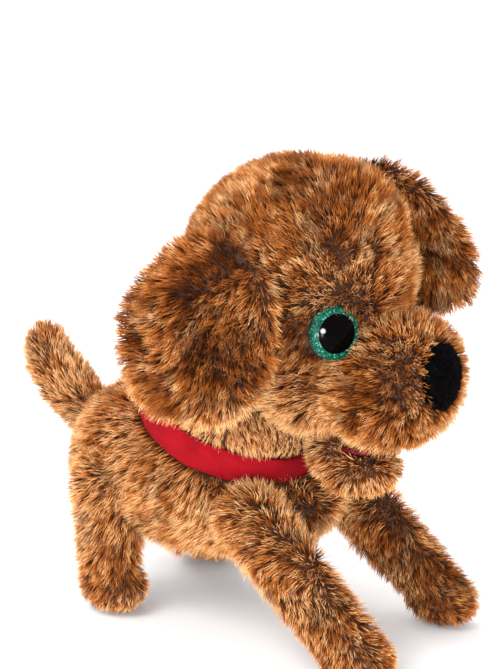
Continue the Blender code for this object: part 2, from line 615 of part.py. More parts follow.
def build():
    clear_scene()
    plush = material("golden_plush", (0.42, 0.2, 0.08), 0.9)
    red_felt = material("red_felt", (0.5, 0.02, 0.03), 0.9)
    mouth_felt = material("mouth_felt", (0.18, 0.02, 0.02), 0.9)
    black_cloth = material("black_cloth", (0.01, 0.01, 0.01), 0.8)
    eye_gloss = material("eye_gloss", (0.02, 0.12, 0.09), 0.15)
    shell_plastic = material("shell_plastic", (0.35, 0.35, 0.36), 0.5)
    gear_plastic = material("gear_plastic", (0.8, 0.78, 0.72), 0.4)
    motor_metal = material("motor_metal", (0.6, 0.6, 0.62), 0.35, 0.9)
    steel = material("steel", (0.7, 0.7, 0.72), 0.3, 1.0)
    board_green = material("board_green", (0.02, 0.2, 0.08), 0.5)
    cell_skin = material("cell_skin", (0.05, 0.05, 0.06), 0.4)
    make_torso(plush, red_felt)
    make_chassis(shell_plastic, steel)
    pinion_y = make_beams(gear_plastic)
    make_drive(pinion_y, motor_metal, board_green, shell_plastic)
    make_battery(shell_plastic, cell_skin, steel)
    for end_name, hip_y, paw in (("front", FRONT_HIP_Y, FRONT_PAW), ("rear", REAR_HIP_Y, REAR_PAW)):
        for side_name, side in (("left", 1), ("right", -1)):
            make_leg(end_name, side_name, side, hip_y, paw, plush, gear_plastic)
    make_tail(plush, gear_plastic)
    nod = make_neck(gear_plastic)
    make_head(nod, plush, shell_plastic, motor_metal, steel, mouth_felt, black_cloth, eye_gloss)
    make_jaw(plush, gear_plastic, mouth_felt, steel)
    make_ears(plush)


build()
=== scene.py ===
"""Plush puppy toy: long pile, glitter eyes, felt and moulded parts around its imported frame.

Lengths are millimetres, as on the pattern sheets, and MM turns them into metres.
"""

import json
import math

import bmesh
import bpy
import numpy as np
from mathutils import Matrix, Vector


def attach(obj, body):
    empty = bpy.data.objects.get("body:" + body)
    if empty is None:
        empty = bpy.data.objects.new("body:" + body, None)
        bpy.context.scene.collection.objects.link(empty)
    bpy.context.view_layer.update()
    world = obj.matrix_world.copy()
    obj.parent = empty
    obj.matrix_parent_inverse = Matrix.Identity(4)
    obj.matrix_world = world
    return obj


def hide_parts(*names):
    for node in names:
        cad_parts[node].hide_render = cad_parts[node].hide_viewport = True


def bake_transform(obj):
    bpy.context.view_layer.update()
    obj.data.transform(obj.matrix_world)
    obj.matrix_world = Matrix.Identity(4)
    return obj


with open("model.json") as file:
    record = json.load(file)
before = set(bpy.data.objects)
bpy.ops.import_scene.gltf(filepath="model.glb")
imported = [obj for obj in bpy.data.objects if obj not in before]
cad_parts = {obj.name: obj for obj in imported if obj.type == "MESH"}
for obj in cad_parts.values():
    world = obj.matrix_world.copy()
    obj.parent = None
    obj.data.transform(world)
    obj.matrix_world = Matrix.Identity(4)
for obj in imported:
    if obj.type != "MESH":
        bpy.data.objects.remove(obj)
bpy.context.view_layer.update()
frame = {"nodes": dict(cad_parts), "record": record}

# ---------------------------------------------------------------- camera, table and light
# A portrait lens from the puppy's right front, a little above its back, over a white
# sweep of paper. Three broad soft lights stand high behind, high on the left and low in
# front, and a small round lamp near the lens gives each eye a faint reflection; the bright
# spark in each eye is a painted highlight on the pupil.
MM = 0.001
LENS_PLACE = Vector((-633, -456, 354)) * MM
LOOKS_AT = Vector((0, -13, 147)) * MM

camera_data = bpy.data.cameras.new("camera")
camera_data.lens = 86.1
camera_data.sensor_width = 36
camera = bpy.data.objects.new("camera", camera_data)
camera.location = LENS_PLACE
camera.rotation_euler = (LOOKS_AT - LENS_PLACE).to_track_quat("-Z", "Y").to_euler()
bpy.context.scene.collection.objects.link(camera)
bpy.context.scene.camera = camera


class Wire:
    """One socket of a node, so that sums on it read as sums."""

    def __init__(self, tree, socket=None):
        self.tree = tree
        self.socket = socket

    def add(self, kind, settings=None, inputs=None, out=0):
        """A new node of any type: its settings, then the values or links of its sockets."""
        node = self.tree.nodes.new(kind)
        for name, value in (settings or {}).items():
            if name == "stops":
                ramp = node.color_ramp
                while len(ramp.elements) < len(value):
                    ramp.elements.new(0.5)
                for element, (place, colour) in zip(ramp.elements, value):
                    element.position = place
                    element.color = (*colour, 1)
            else:
                setattr(node, name, value)
        for name, value in (inputs or {}).items():
            socket = pick(node.inputs, name)
            if isinstance(value, Wire):
                self.tree.links.new(value.socket, socket)
            else:
                socket.default_value = value
        return Wire(self.tree, pick(node.outputs, out) if len(node.outputs) else None)

    def of(self, name):
        """Another output of the same node."""
        return Wire(self.tree, pick(self.socket.node.outputs, name))

    def maths(self, operation, *values):
        return self.add("ShaderNodeMath", {"operation": operation}, dict(enumerate(values)))

    def __add__(self, other):
        return self.maths("ADD", self, other)

    def __sub__(self, other):
        return self.maths("SUBTRACT", self, other)

    def __mul__(self, other):
        return self.maths("MULTIPLY", self, other)

    def __truediv__(self, other):
        return self.maths("DIVIDE", self, other)

    def __pow__(self, other):
        return self.maths("POWER", self, other)

    def __gt__(self, other):
        return self.maths("GREATER_THAN", self, other)

    def __lt__(self, other):
        return self.maths("LESS_THAN", self, other)

    def __radd__(self, other):
        return self.maths("ADD", other, self)

    def __rsub__(self, other):
        return self.maths("SUBTRACT", other, self)

    def __rmul__(self, other):
        return self.maths("MULTIPLY", other, self)

    def clamped(self, low=0, high=1):
        return self.add("ShaderNodeClamp", None, {"Value": self, "Min": low, "Max": high})

    def between(self, low, high):
        """0 at low and 1 at high, with an even ramp between them."""
        return ((self - low) / (high - low)).clamped()

    def vector(self, operation, *values):
        inputs = dict(enumerate(values))
        if operation == "SCALE":
            inputs = {0: values[0], "Scale": values[1]}
        return self.add("ShaderNodeVectorMath", {"operation": operation}, inputs)

    def mixed(self, share, one, other, kind="Color", blend="MIX"):
        """One colour or vector laid over another."""
        settings = {"data_type": {"Color": "RGBA", "Vector": "VECTOR"}[kind]}
        if kind == "Color":
            settings["blend_type"] = blend
            one = (*one, 1) if isinstance(one, tuple) else one
            other = (*other, 1) if isinstance(other, tuple) else other
        inputs = {"Factor_Float": share, f"A_{kind}": one, f"B_{kind}": other}
        return self.add("ShaderNodeMix", settings, inputs, f"Result_{kind}")


def pick(sockets, name):
    """A socket by its number, its identifier or its name."""
    if isinstance(name, int):
        return sockets[name]
    for socket in sockets:
        if socket.identifier == name:
            return socket
    return sockets[name]


def finish_of(name, paint, roughness=0.6, plain=(0.5, 0.5, 0.5), **fixed):
    """A material. paint(net, place) returns what changes over the surface, by socket name."""
    made = bpy.data.materials.new(name)
    made.use_nodes = True
    made.diffuse_color = (*plain, 1)
    shader = made.node_tree.nodes["Principled BSDF"]
    shader.inputs["Base Color"].default_value = (*plain, 1)
    shader.inputs["Roughness"].default_value = roughness
    for socket_name, value in fixed.items():
        shader.inputs[socket_name.replace("_", " ")].default_value = value
    net = Wire(made.node_tree)
    place = net.add("ShaderNodeTexCoord", None, None, "Object")
    for socket_name, wire in paint(net, place).items():
        made.node_tree.links.new(wire.socket, shader.inputs[socket_name])
    return made


def noise(net, place, size_mm, detail=2.0, roughness=0.5):
    """Soft cloudy variation with patches of about the given size."""
    settings = {"Vector": place, "Scale": 1 / (size_mm * MM), "Detail": detail, "Roughness": roughness}
    return net.add("ShaderNodeTexNoise", None, settings, "Fac")


def paper_paint(net, place):
    tone = noise(net, place, 60, 1).between(0.3, 0.7)
    return {"Base Color": net.mixed(tone, (0.9, 0.9, 0.9), (0.93, 0.93, 0.93))}


PAPER_FRONT, PAPER_BACK, PAPER_BEND = 1.6, 1.1, 0.35
sweep = bmesh.new()
outline = [(-PAPER_FRONT, -0.0006), (PAPER_BACK, -0.0006)]
for step in range(1, 13):
    turn = math.pi / 2 * step / 12
    outline.append((PAPER_BACK + PAPER_BEND * math.sin(turn), PAPER_BEND * (1 - math.cos(turn)) - 0.0006))
outline.append((PAPER_BACK + PAPER_BEND, 1.6))
away = LOOKS_AT - LENS_PLACE
away = Vector((away.x, away.y, 0)).normalized()
aside = Vector((-away.y, away.x, 0))
rows = []
for reach, height in outline:
    ends = [away * reach + aside * side * 2.4 + Vector((0, 0, height)) for side in (-1, 1)]
    rows.append([sweep.verts.new(end) for end in ends])
for low, high in zip(rows, rows[1:]):
    sweep.faces.new((low[0], low[1], high[1], high[0]))
paper_mesh = bpy.data.meshes.new("paper_sweep")
sweep.to_mesh(paper_mesh)
paper = bpy.data.objects.new("paper_sweep", paper_mesh)
paper_mesh.shade_smooth()
paper_mesh.materials.append(finish_of("white_paper", paper_paint, 0.8, (0.9, 0.9, 0.9)))
bpy.context.scene.collection.objects.link(paper)


def lamp(name, place, size, power, shape="SQUARE"):
    """A soft light aimed at the head."""
    data = bpy.data.lights.new(name, "AREA")
    data.shape = shape
    data.size = size
    data.energy = power
    light = bpy.data.objects.new(name, data)
    light.location = place
    light.rotation_euler = (LOOKS_AT - light.location).to_track_quat("-Z", "Y").to_euler()
    bpy.context.scene.collection.objects.link(light)
    return light


lamp("key_light", Vector((-0.9, 0.25, 1.25)), 0.8, 14)
lamp("rim_light", Vector((0.6, 0.9, 1.1)), 0.8, 12)
lamp("front_fill", Vector((-1.2, -0.6, 0.3)), 0.8, 10)
lamp("eye_lamp", Vector((-0.76, -0.77, 0.08)), 0.12, 5, "DISK")
world = bpy.data.worlds.new("studio_air")
world.use_nodes = True
world.node_tree.nodes["Background"].inputs["Color"].default_value = (1, 1, 1, 1)
world.node_tree.nodes["Background"].inputs["Strength"].default_value = 1.0
bpy.context.scene.world = world
bpy.context.scene.view_settings.view_transform = "Standard"

# ---------------------------------------------------------------- moulded frame and gear
# Chassis, battery box, head shell, neck wedge and switch plate are injection moulded,
# the levers, beams, link and pinion are slippery natural plastic, and the motors are
# pressed metal cans. Steel pins and screws hold them together.


def moulded_paint(dark, light):
    """Moulded plastic: faint flow marks, a fine grain, and edges rubbed paler."""

    def paint(net, place):
        flow = noise(net, place, 14, 3)
        grain = noise(net, place, 0.5, 2)
        wear_and_far_shade = net.add("ShaderNodeNewGeometry", None, None, "Pointiness").between(0.52, 0.6)
        colour = net.mixed(flow.between(0.3, 0.7), dark, light)
        colour = net.mixed(wear_and_far_shade * 0.35, colour, tuple(min(1, c * 1.6) for c in light))
        bump = net.add("ShaderNodeBump", None, {"Strength": 0.25, "Distance": 0.0002, "Height": grain})
        return {"Base Color": colour, "Roughness": 0.34 + 0.2 * grain, "Normal": bump}

    return paint


def metal_paint(dark, light):
    """Plated or drawn metal, with fine lines along the work and dull patches."""

    def paint(net, place):
        lines = net.add("ShaderNodeMapping", None, {"Vector": place, "Scale": (1, 0.06, 1)})
        drawn = noise(net, lines, 0.4, 3)
        dull = noise(net, place, 6, 3).between(0.35, 0.7)
        bump = net.add("ShaderNodeBump", None, {"Strength": 0.15, "Distance": 0.0001, "Height": drawn})
        return {
            "Base Color": net.mixed(drawn.between(0.3, 0.7), dark, light),
            "Roughness": 0.22 + 0.25 * dull,
            "Normal": bump,
        }

    return paint


def board_paint(net, place):
    """Green lacquer over copper tracks that run in short straight lengths."""
    cells = net.add(
        "ShaderNodeTexBrick",
        {"offset": 0.37},
        {"Vector": place, "Scale": 260, "Mortar Size": 0.06, "Brick Width": 1.4, "Row Height": 0.4},
        "Fac",
    )
    mottle = noise(net, place, 4, 3).between(0.3, 0.7)
    green = net.mixed(mottle, (0.01, 0.11, 0.04), (0.02, 0.2, 0.07))
    bump = net.add("ShaderNodeBump", None, {"Strength": 0.4, "Distance": 0.0001, "Height": cells})
    return {"Base Color": net.mixed(cells, green, (0.08, 0.32, 0.12)), "Normal": bump}


def cell_paint(net, place):
    """Printed battery film: a dark skin with a plain copper-coloured band."""
    along = net.add("ShaderNodeSeparateXYZ", None, {"Vector": place}, "Y")
    band = (along > 0.022) * (along < 0.036)
    speck = noise(net, place, 1.2, 2).between(0.4, 0.7)
    film = net.mixed(speck, (0.012, 0.012, 0.014), (0.03, 0.03, 0.034))
    return {"Base Color": net.mixed(band, film, (0.45, 0.2, 0.07)), "Roughness": 0.22 + 0.2 * speck}


FINISHES = {
    "shell_plastic": finish_of(
        "moulded_shell", moulded_paint((0.055, 0.05, 0.048), (0.085, 0.08, 0.075)), 0.5, (0.07, 0.065, 0.06)
    ),
    "gear_plastic": finish_of(
        "natural_plastic", moulded_paint((0.62, 0.58, 0.48), (0.74, 0.7, 0.6)), 0.4, (0.7, 0.65, 0.55)
    ),
    "motor_metal": finish_of(
        "motor_can", metal_paint((0.4, 0.4, 0.42), (0.6, 0.6, 0.62)), 0.35, (0.5, 0.5, 0.52), Metallic=1.0
    ),
    "steel": finish_of(
        "plated_steel",
        metal_paint((0.55, 0.55, 0.56), (0.75, 0.75, 0.76)),
        0.25,
        (0.65, 0.65, 0.66),
        Metallic=1.0,
    ),
    "board_green": finish_of("green_board", board_paint, 0.35, (0.02, 0.16, 0.06)),
    "cell_skin": finish_of("battery_film", cell_paint, 0.3, (0.02, 0.02, 0.022)),
}
for entry in frame["record"]["subparts"]:
    if entry["material_slot"] in FINISHES:
        moulding = frame["nodes"][entry["node"]]
        moulding.data.materials.clear()
        moulding.data.materials.append(FINISHES[entry["material_slot"]])

# ---------------------------------------------------------------- body skin
# The body is a bag of long-pile plush over the chassis, stuffed round and sewn along the
# belly, with a rough window under the belly where the battery door and the switch stay
# bare. The pile is two-tone: dark at the backing, golden half way up, cream at the tips.
VOXEL = 4.2
BODY_BLOBS = [
    ((0, 13, 72.5), (46, 73, 34.5), 2.5),
    ((0, -22, 86), (43, 36, 30), 2.2),
    ((0, 40, 78), (43, 42, 33), 2.2),
]
WINDOW_HALF, WINDOW_FRONT, WINDOW_REAR, WINDOW_TOP = 22, -17, 60, 51


def blob_mesh(shape, centre, half, power=2.0):
    """Adds one rounded stuffing shape, given in millimetres."""
    start = len(shape.verts)
    bmesh.ops.create_icosphere(shape, subdivisions=4, radius=1)
    shape.verts.ensure_lookup_table()
    for vert in shape.verts[start:]:
        unit = vert.co.normalized()
        swell = sum(abs(part) ** power for part in unit) ** (-1 / power)
        vert.co = Vector(c + h * u * swell for c, h, u in zip(centre, half, unit)) * MM


def linked(name, shape):
    mesh = bpy.data.meshes.new(name)
    shape.to_mesh(mesh)
    shape.free()
    made = bpy.data.objects.new(name, mesh)
    bpy.context.scene.collection.objects.link(made)
    return made


def settled(thing):
    """Turns a piece and its modifiers into one plain mesh."""
    graph = bpy.context.evaluated_depsgraph_get()
    flat = bpy.data.meshes.new_from_object(thing.evaluated_get(graph))
    thing.modifiers.clear()
    old = thing.data
    thing.data = flat
    bpy.data.meshes.remove(old)
    return thing


def sewn_skin(name, blobs, voxel=VOXEL, smooth=6):
    """Rounded shapes sewn into one closed skin."""
    shape = bmesh.new()
    for blob in blobs:
        blob_mesh(shape, *blob)
    skin = linked(name, shape)
    remesh = skin.modifiers.new("sew", "REMESH")
    remesh.mode = "VOXEL"
    remesh.voxel_size = voxel * MM
    soften = skin.modifiers.new("soften", "SMOOTH")
    soften.factor = 0.5
    soften.iterations = smooth
    return settled(skin)


def chain(points, radii, steps=5, power=2.0):
    """A stuffed tube, as a row of balls from point to point."""
    balls = []
    for (a, b), (ra, rb) in zip(zip(points, points[1:]), zip(radii, radii[1:])):
        for step in range(steps + 1):
            share = step / steps
            centre = [p + (q - p) * share for p, q in zip(a, b)]
            half = ra + (rb - ra) * share
            balls.append((centre, (half, half, half), power))
    return balls


def points_of(mesh):
    flat = np.empty(len(mesh.vertices) * 3, np.float32)
    mesh.vertices.foreach_get("co", flat)
    return flat.reshape(-1, 3).astype(float) / MM


def put_points(mesh, points):
    mesh.vertices.foreach_set("co", (points * MM).astype(np.float32).ravel())
    mesh.update()


def normals_of(mesh):
    flat = np.empty(len(mesh.vertices) * 3, np.float32)
    mesh.vertices.foreach_get("normal", flat)
    return flat.reshape(-1, 3).astype(float)


def unit_rows(rows):
    return rows / np.maximum(np.linalg.norm(rows, axis=1, keepdims=True), 1e-9)


def stuffed(skin, pressure=4.0, cap=3.0, held=None):
    """Blows the skin up like stuffing does, and holds it in where it is sewn down."""
    before = points_of(skin.data)
    group = skin.vertex_groups.new(name="sewn")
    if held is not None:
        group.add([int(i) for i in np.nonzero(held(before))[0]], 1.0, "REPLACE")
    cloth = skin.modifiers.new("stuffing", "CLOTH")
    cloth.settings.use_pressure = True
    cloth.settings.uniform_pressure_force = pressure
    cloth.settings.tension_stiffness = 12
    cloth.settings.bending_stiffness = 2
    cloth.settings.effector_weights.gravity = 0
    cloth.settings.vertex_group_mass = "sewn"
    cloth.point_cache.frame_start = 1
    cloth.point_cache.frame_end = 20
    scene = bpy.context.scene
    for number in range(1, 21):
        scene.frame_set(number)
    settled(skin)
    scene.frame_set(1)
    after = points_of(skin.data)
    moved = after - before
    reach = np.linalg.norm(moved, axis=1, keepdims=True)
    put_points(skin.data, before + moved * np.minimum(1, cap / np.maximum(reach, 1e-9)))
    return skin


def store(mesh, name, values):
    """Writes a number or a direction on every point of a mesh."""
    values = np.asarray(values, np.float32)
    kind = "FLOAT_VECTOR" if values.ndim == 2 else "FLOAT"
    made = mesh.attributes.get(name) or mesh.attributes.new(name, kind, "POINT")
    made.data.foreach_set("vector" if values.ndim == 2 else "value", values.ravel())


def line_gap(points, a, b):
    """How far each point is from the line from a to b, and the way to go to get off it."""
    a, b = np.array(a, float), np.array(b, float)
    along = np.clip(((points - a) @ (b - a)) / max((b - a) @ (b - a), 1e-9), 0, 1)
    off = points - (a + along[:, None] * (b - a))
    gap = np.linalg.norm(off, axis=1)
    return gap, unit_rows(off)


def groomed(skin, flow, partings=(), cover=1.0, pile=1.0, pale=0.0, lay=1.0):
    """Brushes the pile: which way it lies, how long and how pale it is, and where it stops."""
    points, normals = points_of(skin.data), normals_of(skin.data)
    swirl = np.sin(points / 11 + 2.1 * np.sin(points[:, [1, 2, 0]] / 17) + [0.4, 2.0, 4.1])
    comb = unit_rows(unit_rows(flow(points)) + 0.45 * swirl)
    count = len(points)
    cover = cover(points, normals) if callable(cover) else np.full(count, cover)
    pile = pile(points, normals) if callable(pile) else np.full(count, pile)
    pale = pale(points, normals) if callable(pale) else np.full(count, pale)
    for a, b, width, strength in partings:
        gap, off = line_gap(points, a, b)
        near = np.exp(-((gap / width) ** 2))[:, None] * strength
        comb = unit_rows(comb * (1 - near) + off * near * 1.5)
        pile = pile * (1 - 0.45 * near[:, 0])
        # Along a parting the hairs are also painted darker: painted shade in the parting's hollow, besides
        # the dark roots the parting bares.
        pale = pale - 0.5 * near[:, 0]
    comb = unit_rows(comb - normals * (comb * normals).sum(1, keepdims=True))
    lay = lay(points, normals) if callable(lay) else np.full(count, lay)
    comb = comb * lay[:, None]
    store(skin.data, "comb", comb)
    store(skin.data, "cover", np.clip(cover, 0, 1))
    store(skin.data, "pile", pile)
    store(skin.data, "pale", pale)


def pile_tree():
    """Geometry nodes that sew tapered hairs over a skin and gather them into tufts."""
    tree = bpy.data.node_groups.new("pile", "GeometryNodeTree")
    sockets = tree.interface
    sockets.new_socket("Skin", in_out="INPUT", socket_type="NodeSocketGeometry")
    for name, value in (
        ("Hairs per square metre", 1.5e6),
        ("Length", 11 * MM),
        ("Width", 0.42 * MM),
        ("Lean", 0.8),
        ("Stray", 0.27),
        ("Tuft size", 3.8 * MM),
        ("Tuft pull", 0.42),
    ):
        sockets.new_socket(name, in_out="INPUT", socket_type="NodeSocketFloat").default_value = value
    sockets.new_socket("Seed", in_out="INPUT", socket_type="NodeSocketInt").default_value = 7
    sockets.new_socket("Material", in_out="INPUT", socket_type="NodeSocketMaterial")
    sockets.new_socket("Pile", in_out="OUTPUT", socket_type="NodeSocketGeometry")
    net = Wire(tree)
    given = net.add("NodeGroupInput")
    seed = given.of("Seed")
    length, width = given.of("Length"), given.of("Width")

    def stored(name, kind="FLOAT"):
        return net.add("GeometryNodeInputNamedAttribute", {"data_type": kind}, {"Name": name}, "Attribute")

    def chance(low, high, shift):
        settings = {"Min_001": low, "Max_001": high, "Seed": seed + shift}
        return net.add("FunctionNodeRandomValue", {"data_type": "FLOAT"}, settings, "Value_001")

    def lie(normal, stray, shift):
        """The way one hair grows: up from the backing, laid over along the comb."""
        shake = net.add(
            "FunctionNodeRandomValue",
            {"data_type": "FLOAT_VECTOR"},
            {"Min": (-1, -1, -1), "Max": (1, 1, 1), "Seed": seed + shift},
            "Value",
        )
        lean = given.of("Lean")
        upright = net.vector("SCALE", normal, 1 - 0.45 * lean)
        over = net.vector("SCALE", stored("comb", "FLOAT_VECTOR"), lean)
        loose = net.vector("SCALE", shake, stray)
        way = net.vector("ADD", net.vector("ADD", upright, over), loose)
        return net.vector("NORMALIZE", way)

    density = given.of("Hairs per square metre") * stored("cover")
    roots = net.add(
        "GeometryNodeDistributePointsOnFaces",
        {"distribute_method": "RANDOM"},
        {"Mesh": given.of("Skin"), "Density": density, "Seed": seed},
        "Points",
    )
    tuft_roots = net.add(
        "GeometryNodeDistributePointsOnFaces",
        {"distribute_method": "POISSON"},
        {
            "Mesh": given.of("Skin"),
            "Distance Min": given.of("Tuft size") * 0.75,
            "Density Max": 3.0e5,
            "Seed": seed + 1,
        },
        "Points",
    )
    place = net.add("GeometryNodeInputPosition")
    tuft_length = length * stored("pile") * 1.05
    tuft_way = net.vector("SCALE", lie(tuft_roots.of("Normal"), given.of("Stray") * 1.7, 2), tuft_length)
    tuft_tip = net.vector("ADD", place, tuft_way)
    nearest = net.add(
        "GeometryNodeSampleNearest", None, {"Geometry": tuft_roots, "Sample Position": place}, "Index"
    )
    gather = net.add(
        "GeometryNodeSampleIndex",
        {"data_type": "FLOAT_VECTOR"},
        {"Geometry": tuft_roots, "Value": tuft_tip, "Index": nearest},
        "Value",
    )
    tuft_tone = net.add(
        "GeometryNodeSampleIndex",
        {"data_type": "FLOAT"},
        {"Geometry": tuft_roots, "Value": chance(0, 1, 3), "Index": nearest},
        "Value",
    )
    own = net.vector("SCALE", lie(roots.of("Normal"), given.of("Stray"), 4), length * stored("pile"))
    own_tip = net.vector("ADD", place, own)
    tip = net.mixed(given.of("Tuft pull"), own_tip, gather, "Vector")
    way = net.vector("SUBTRACT", tip, place)
    facing = net.add("FunctionNodeAlignRotationToVector", {"axis": "Z"}, {"Vector": way}, "Rotation")
    twist = net.add(
        "FunctionNodeAxisAngleToRotation", None, {"Axis": (0, 0, 1), "Angle": chance(0, 6.283, 5)}, "Rotation"
    )
    facing = net.add(
        "FunctionNodeRotateRotation", {"rotation_space": "LOCAL"}, {"Rotation": facing, "Rotate By": twist}
    )
    reach = length * stored("pile") * chance(0.72, 1.1, 6)
    thickness = width * chance(0.7, 1.3, 7)
    scale = net.add("ShaderNodeCombineXYZ", None, {"X": thickness, "Y": reach, "Z": reach})

    blade = net.add(
        "GeometryNodeMeshGrid", None, {"Size X": 1.0, "Size Y": 1.0, "Vertices X": 2, "Vertices Y": 4}, "Mesh"
    )
    spot = net.add("ShaderNodeSeparateXYZ", None, {"Vector": place}, "X")
    along = spot.of("Y") + 0.5
    narrow = (1 - along * along * along) * (0.65 + 0.35 * along)
    curl = along * along * 0.16
    bent = net.add("ShaderNodeCombineXYZ", None, {"X": spot * narrow, "Y": curl, "Z": along * 0.99})
    blade = net.add(
        "GeometryNodeStoreNamedAttribute",
        {"data_type": "FLOAT", "domain": "POINT"},
        {"Geometry": blade, "Name": "along", "Value": along},
    )
    blade = net.add("GeometryNodeSetPosition", None, {"Geometry": blade, "Position": bent})
    blade = net.add("GeometryNodeMergeByDistance", None, {"Geometry": blade, "Distance": 0.0005})

    hairs = net.add(
        "GeometryNodeInstanceOnPoints",
        None,
        {"Points": roots, "Instance": blade, "Rotation": facing, "Scale": scale},
        "Instances",
    )
    tone = tuft_tone * 0.6 + chance(0, 0.4, 8)
    hairs = net.add(
        "GeometryNodeStoreNamedAttribute",
        {"data_type": "FLOAT", "domain": "INSTANCE"},
        {"Geometry": hairs, "Name": "tone", "Value": tone},
    )
    hairs = net.add(
        "GeometryNodeStoreNamedAttribute",
        {"data_type": "FLOAT", "domain": "INSTANCE"},
        {"Geometry": hairs, "Name": "pale", "Value": stored("pale")},
    )
    coat = net.add("GeometryNodeRealizeInstances", None, {"Geometry": hairs})
    coat = net.add("GeometryNodeSetMaterial", None, {"Geometry": coat, "Material": given.of("Material")})
    net.add("NodeGroupOutput", None, {"Pile": coat})
    return tree


PILE = pile_tree()
LOWEST_HAIR = 0.4


def coat_of(skin, seed, hairs, length, lean, width=0.42, tuft=3.8, pile=None, floor=None):
    """Grows the pile on a groomed skin and joins both into one plush piece.

    hairs counts them in a square metre. Length, width and tuft size are in millimetres.
    """
    grown = bpy.data.objects.new(skin.name + "_pile", skin.data.copy())
    bpy.context.scene.collection.objects.link(grown)
    step = grown.modifiers.new("pile", "NODES")
    step.node_group = PILE
    sizes = {"Seed": seed, "Material": pile or golden_pile, "Hairs per square metre": hairs, "Lean": lean}
    sizes |= {"Length": length * MM, "Width": width * MM, "Tuft size": tuft * MM}
    for item in PILE.interface.items_tree:
        if item.in_out == "INPUT" and item.name in sizes:
            step[item.identifier] = sizes[item.name]
    settled(grown)
    tips = points_of(grown.data)
    tips[:, 2] = np.maximum(tips[:, 2], LOWEST_HAIR)
    put_points(grown.data, tips)
    skin.data.materials.clear()
    skin.data.materials.append(floor or backing)
    for name in ("comb", "cover", "pile", "pale"):
        skin.data.attributes.remove(skin.data.attributes[name])
    bpy.ops.object.select_all(action="DESELECT")
    grown.select_set(True)
    skin.select_set(True)
    bpy.context.view_layer.objects.active = skin
    bpy.ops.object.join()
    skin.data.shade_smooth()
    return skin


GOLD_ROOT = (0.016, 0.0035, 0.0006)
GOLD_LOW = (0.115, 0.026, 0.0035)
GOLD_MIDDLE = (0.36, 0.098, 0.0145)
GOLD_HIGH = (0.6, 0.21, 0.043)
GOLD_TIP = (0.86, 0.5, 0.22)
GOLD_GREY = (0.36, 0.2, 0.095)
WARM_HAIR = [(0.0, GOLD_ROOT), (0.3, GOLD_LOW), (0.58, GOLD_MIDDLE), (0.82, GOLD_HIGH), (1.0, GOLD_TIP)]
COOL_HAIR = [(0.0, GOLD_ROOT), (0.35, GOLD_LOW), (0.7, GOLD_GREY), (1.0, GOLD_TIP)]


def golden_paint(net, place):
    """Two-tone plush, from the dark backing to the pale tips, in drifting patches."""
    along = net.add("ShaderNodeAttribute", {"attribute_name": "along"}, None, "Fac")
    tone = net.add("ShaderNodeAttribute", {"attribute_name": "tone"}, None, "Fac")
    pale = net.add("ShaderNodeAttribute", {"attribute_name": "pale"}, None, "Fac")
    broad = noise(net, place, 24, 2)
    fine = noise(net, place, 7, 2)
    shift = (tone - 0.5) * 0.55 + (broad - 0.5) * 1.3 + (fine - 0.5) * 1.5 + pale
    height = (along + shift * along).clamped()
    warm = net.add("ShaderNodeValToRGB", {"stops": WARM_HAIR}, {"Fac": height}, "Color")
    cool = net.add("ShaderNodeValToRGB", {"stops": COOL_HAIR}, {"Fac": height}, "Color")
    frost = noise(net, place, 16, 3).between(0.48, 0.62) * tone.between(0.2, 0.5)
    return {"Base Color": net.mixed(frost * 0.8, warm, cool)}


golden_pile = finish_of("golden_pile", golden_paint, 0.55, GOLD_MIDDLE, Specular_IOR_Level=0.12)


def backing_paint(net, place):
    """Knitted backing cloth, seen only as the dark floor of the pile."""
    knit = net.add("ShaderNodeTexVoronoi", None, {"Vector": place, "Scale": 900.0}, "Distance")
    tone = noise(net, place, 9, 3).between(0.3, 0.7)
    colour = net.mixed(tone, (0.03, 0.009, 0.003), (0.1, 0.035, 0.01))
    bump = net.add("ShaderNodeBump", None, {"Strength": 0.6, "Distance": 0.0004, "Height": knit})
    return {"Base Color": colour, "Normal": bump}


backing = finish_of("knitted_backing", backing_paint, 0.9, (0.06, 0.02, 0.006))


def dressed(coat, moves_with, plain_solid):
    """Hangs a finished plush piece on its body, in the place of its plain solid."""
    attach(coat, moves_with)
    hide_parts(plain_solid)


NECK_TILT = math.radians(22)
NECK_FOOT = np.array([0.0, -2.0, 101.0])
NECK_WAY = np.array([0.0, -math.sin(NECK_TILT), math.cos(NECK_TILT)])


def neck_height(points):
    """Height of each point above the collar's middle, along the neck."""
    return (points - NECK_FOOT) @ NECK_WAY


def from_neck(points):
    """The way from the neck's axis straight out to each point."""
    out = points - NECK_FOOT
    return out - np.outer(out @ NECK_WAY, NECK_WAY)


def body_flow(points):
    """The coat lies towards the tail and down the flanks."""
    lie = np.tile([0.0, 0.55, -0.75], (len(points), 1))
    lie[:, 0] = points[:, 0] / 60
    return lie


def in_window(points, hem):
    """The opening under the belly, with a hem of the given width round it."""
    x, y, z = points.T
    return (np.abs(x) < WINDOW_HALF + hem) & (y > WINDOW_FRONT - hem) & (y < WINDOW_REAR + hem) & (z < 60)


def body_cover(points, normals):
    """Bare under the battery door, behind the collar, and inside the neck."""
    return np.where(in_window(points, 2) | (neck_height(points) > -9), 0.0, 1.0)


neck_stub = chain([NECK_FOOT - NECK_WAY * 40, NECK_FOOT - NECK_WAY * 14], [36, 42], 4)
body = sewn_skin("torso_plush_coat", BODY_BLOBS + neck_stub)


def belly_seam(points):
    return (np.abs(points[:, 0]) < 3) & (points[:, 2] < 60) | (neck_height(points) > -8)


stuffed(body, 4.0, 3.0, belly_seam)


def tucked_in(points):
    """Gathers the skin under the collar, closes it there, and opens the window below."""
    rise = neck_height(points)
    out = from_neck(points)
    reach = np.linalg.norm(out, axis=1)
    gather = np.clip((rise + 11) / 4, 0, 1) * np.clip(1 - 42 / np.maximum(reach, 1), 0, 1)
    points = points - out * gather[:, None] - np.outer(np.maximum(rise + 2, 0), NECK_WAY)
    points[in_window(points, 0), 2] = WINDOW_TOP
    return points


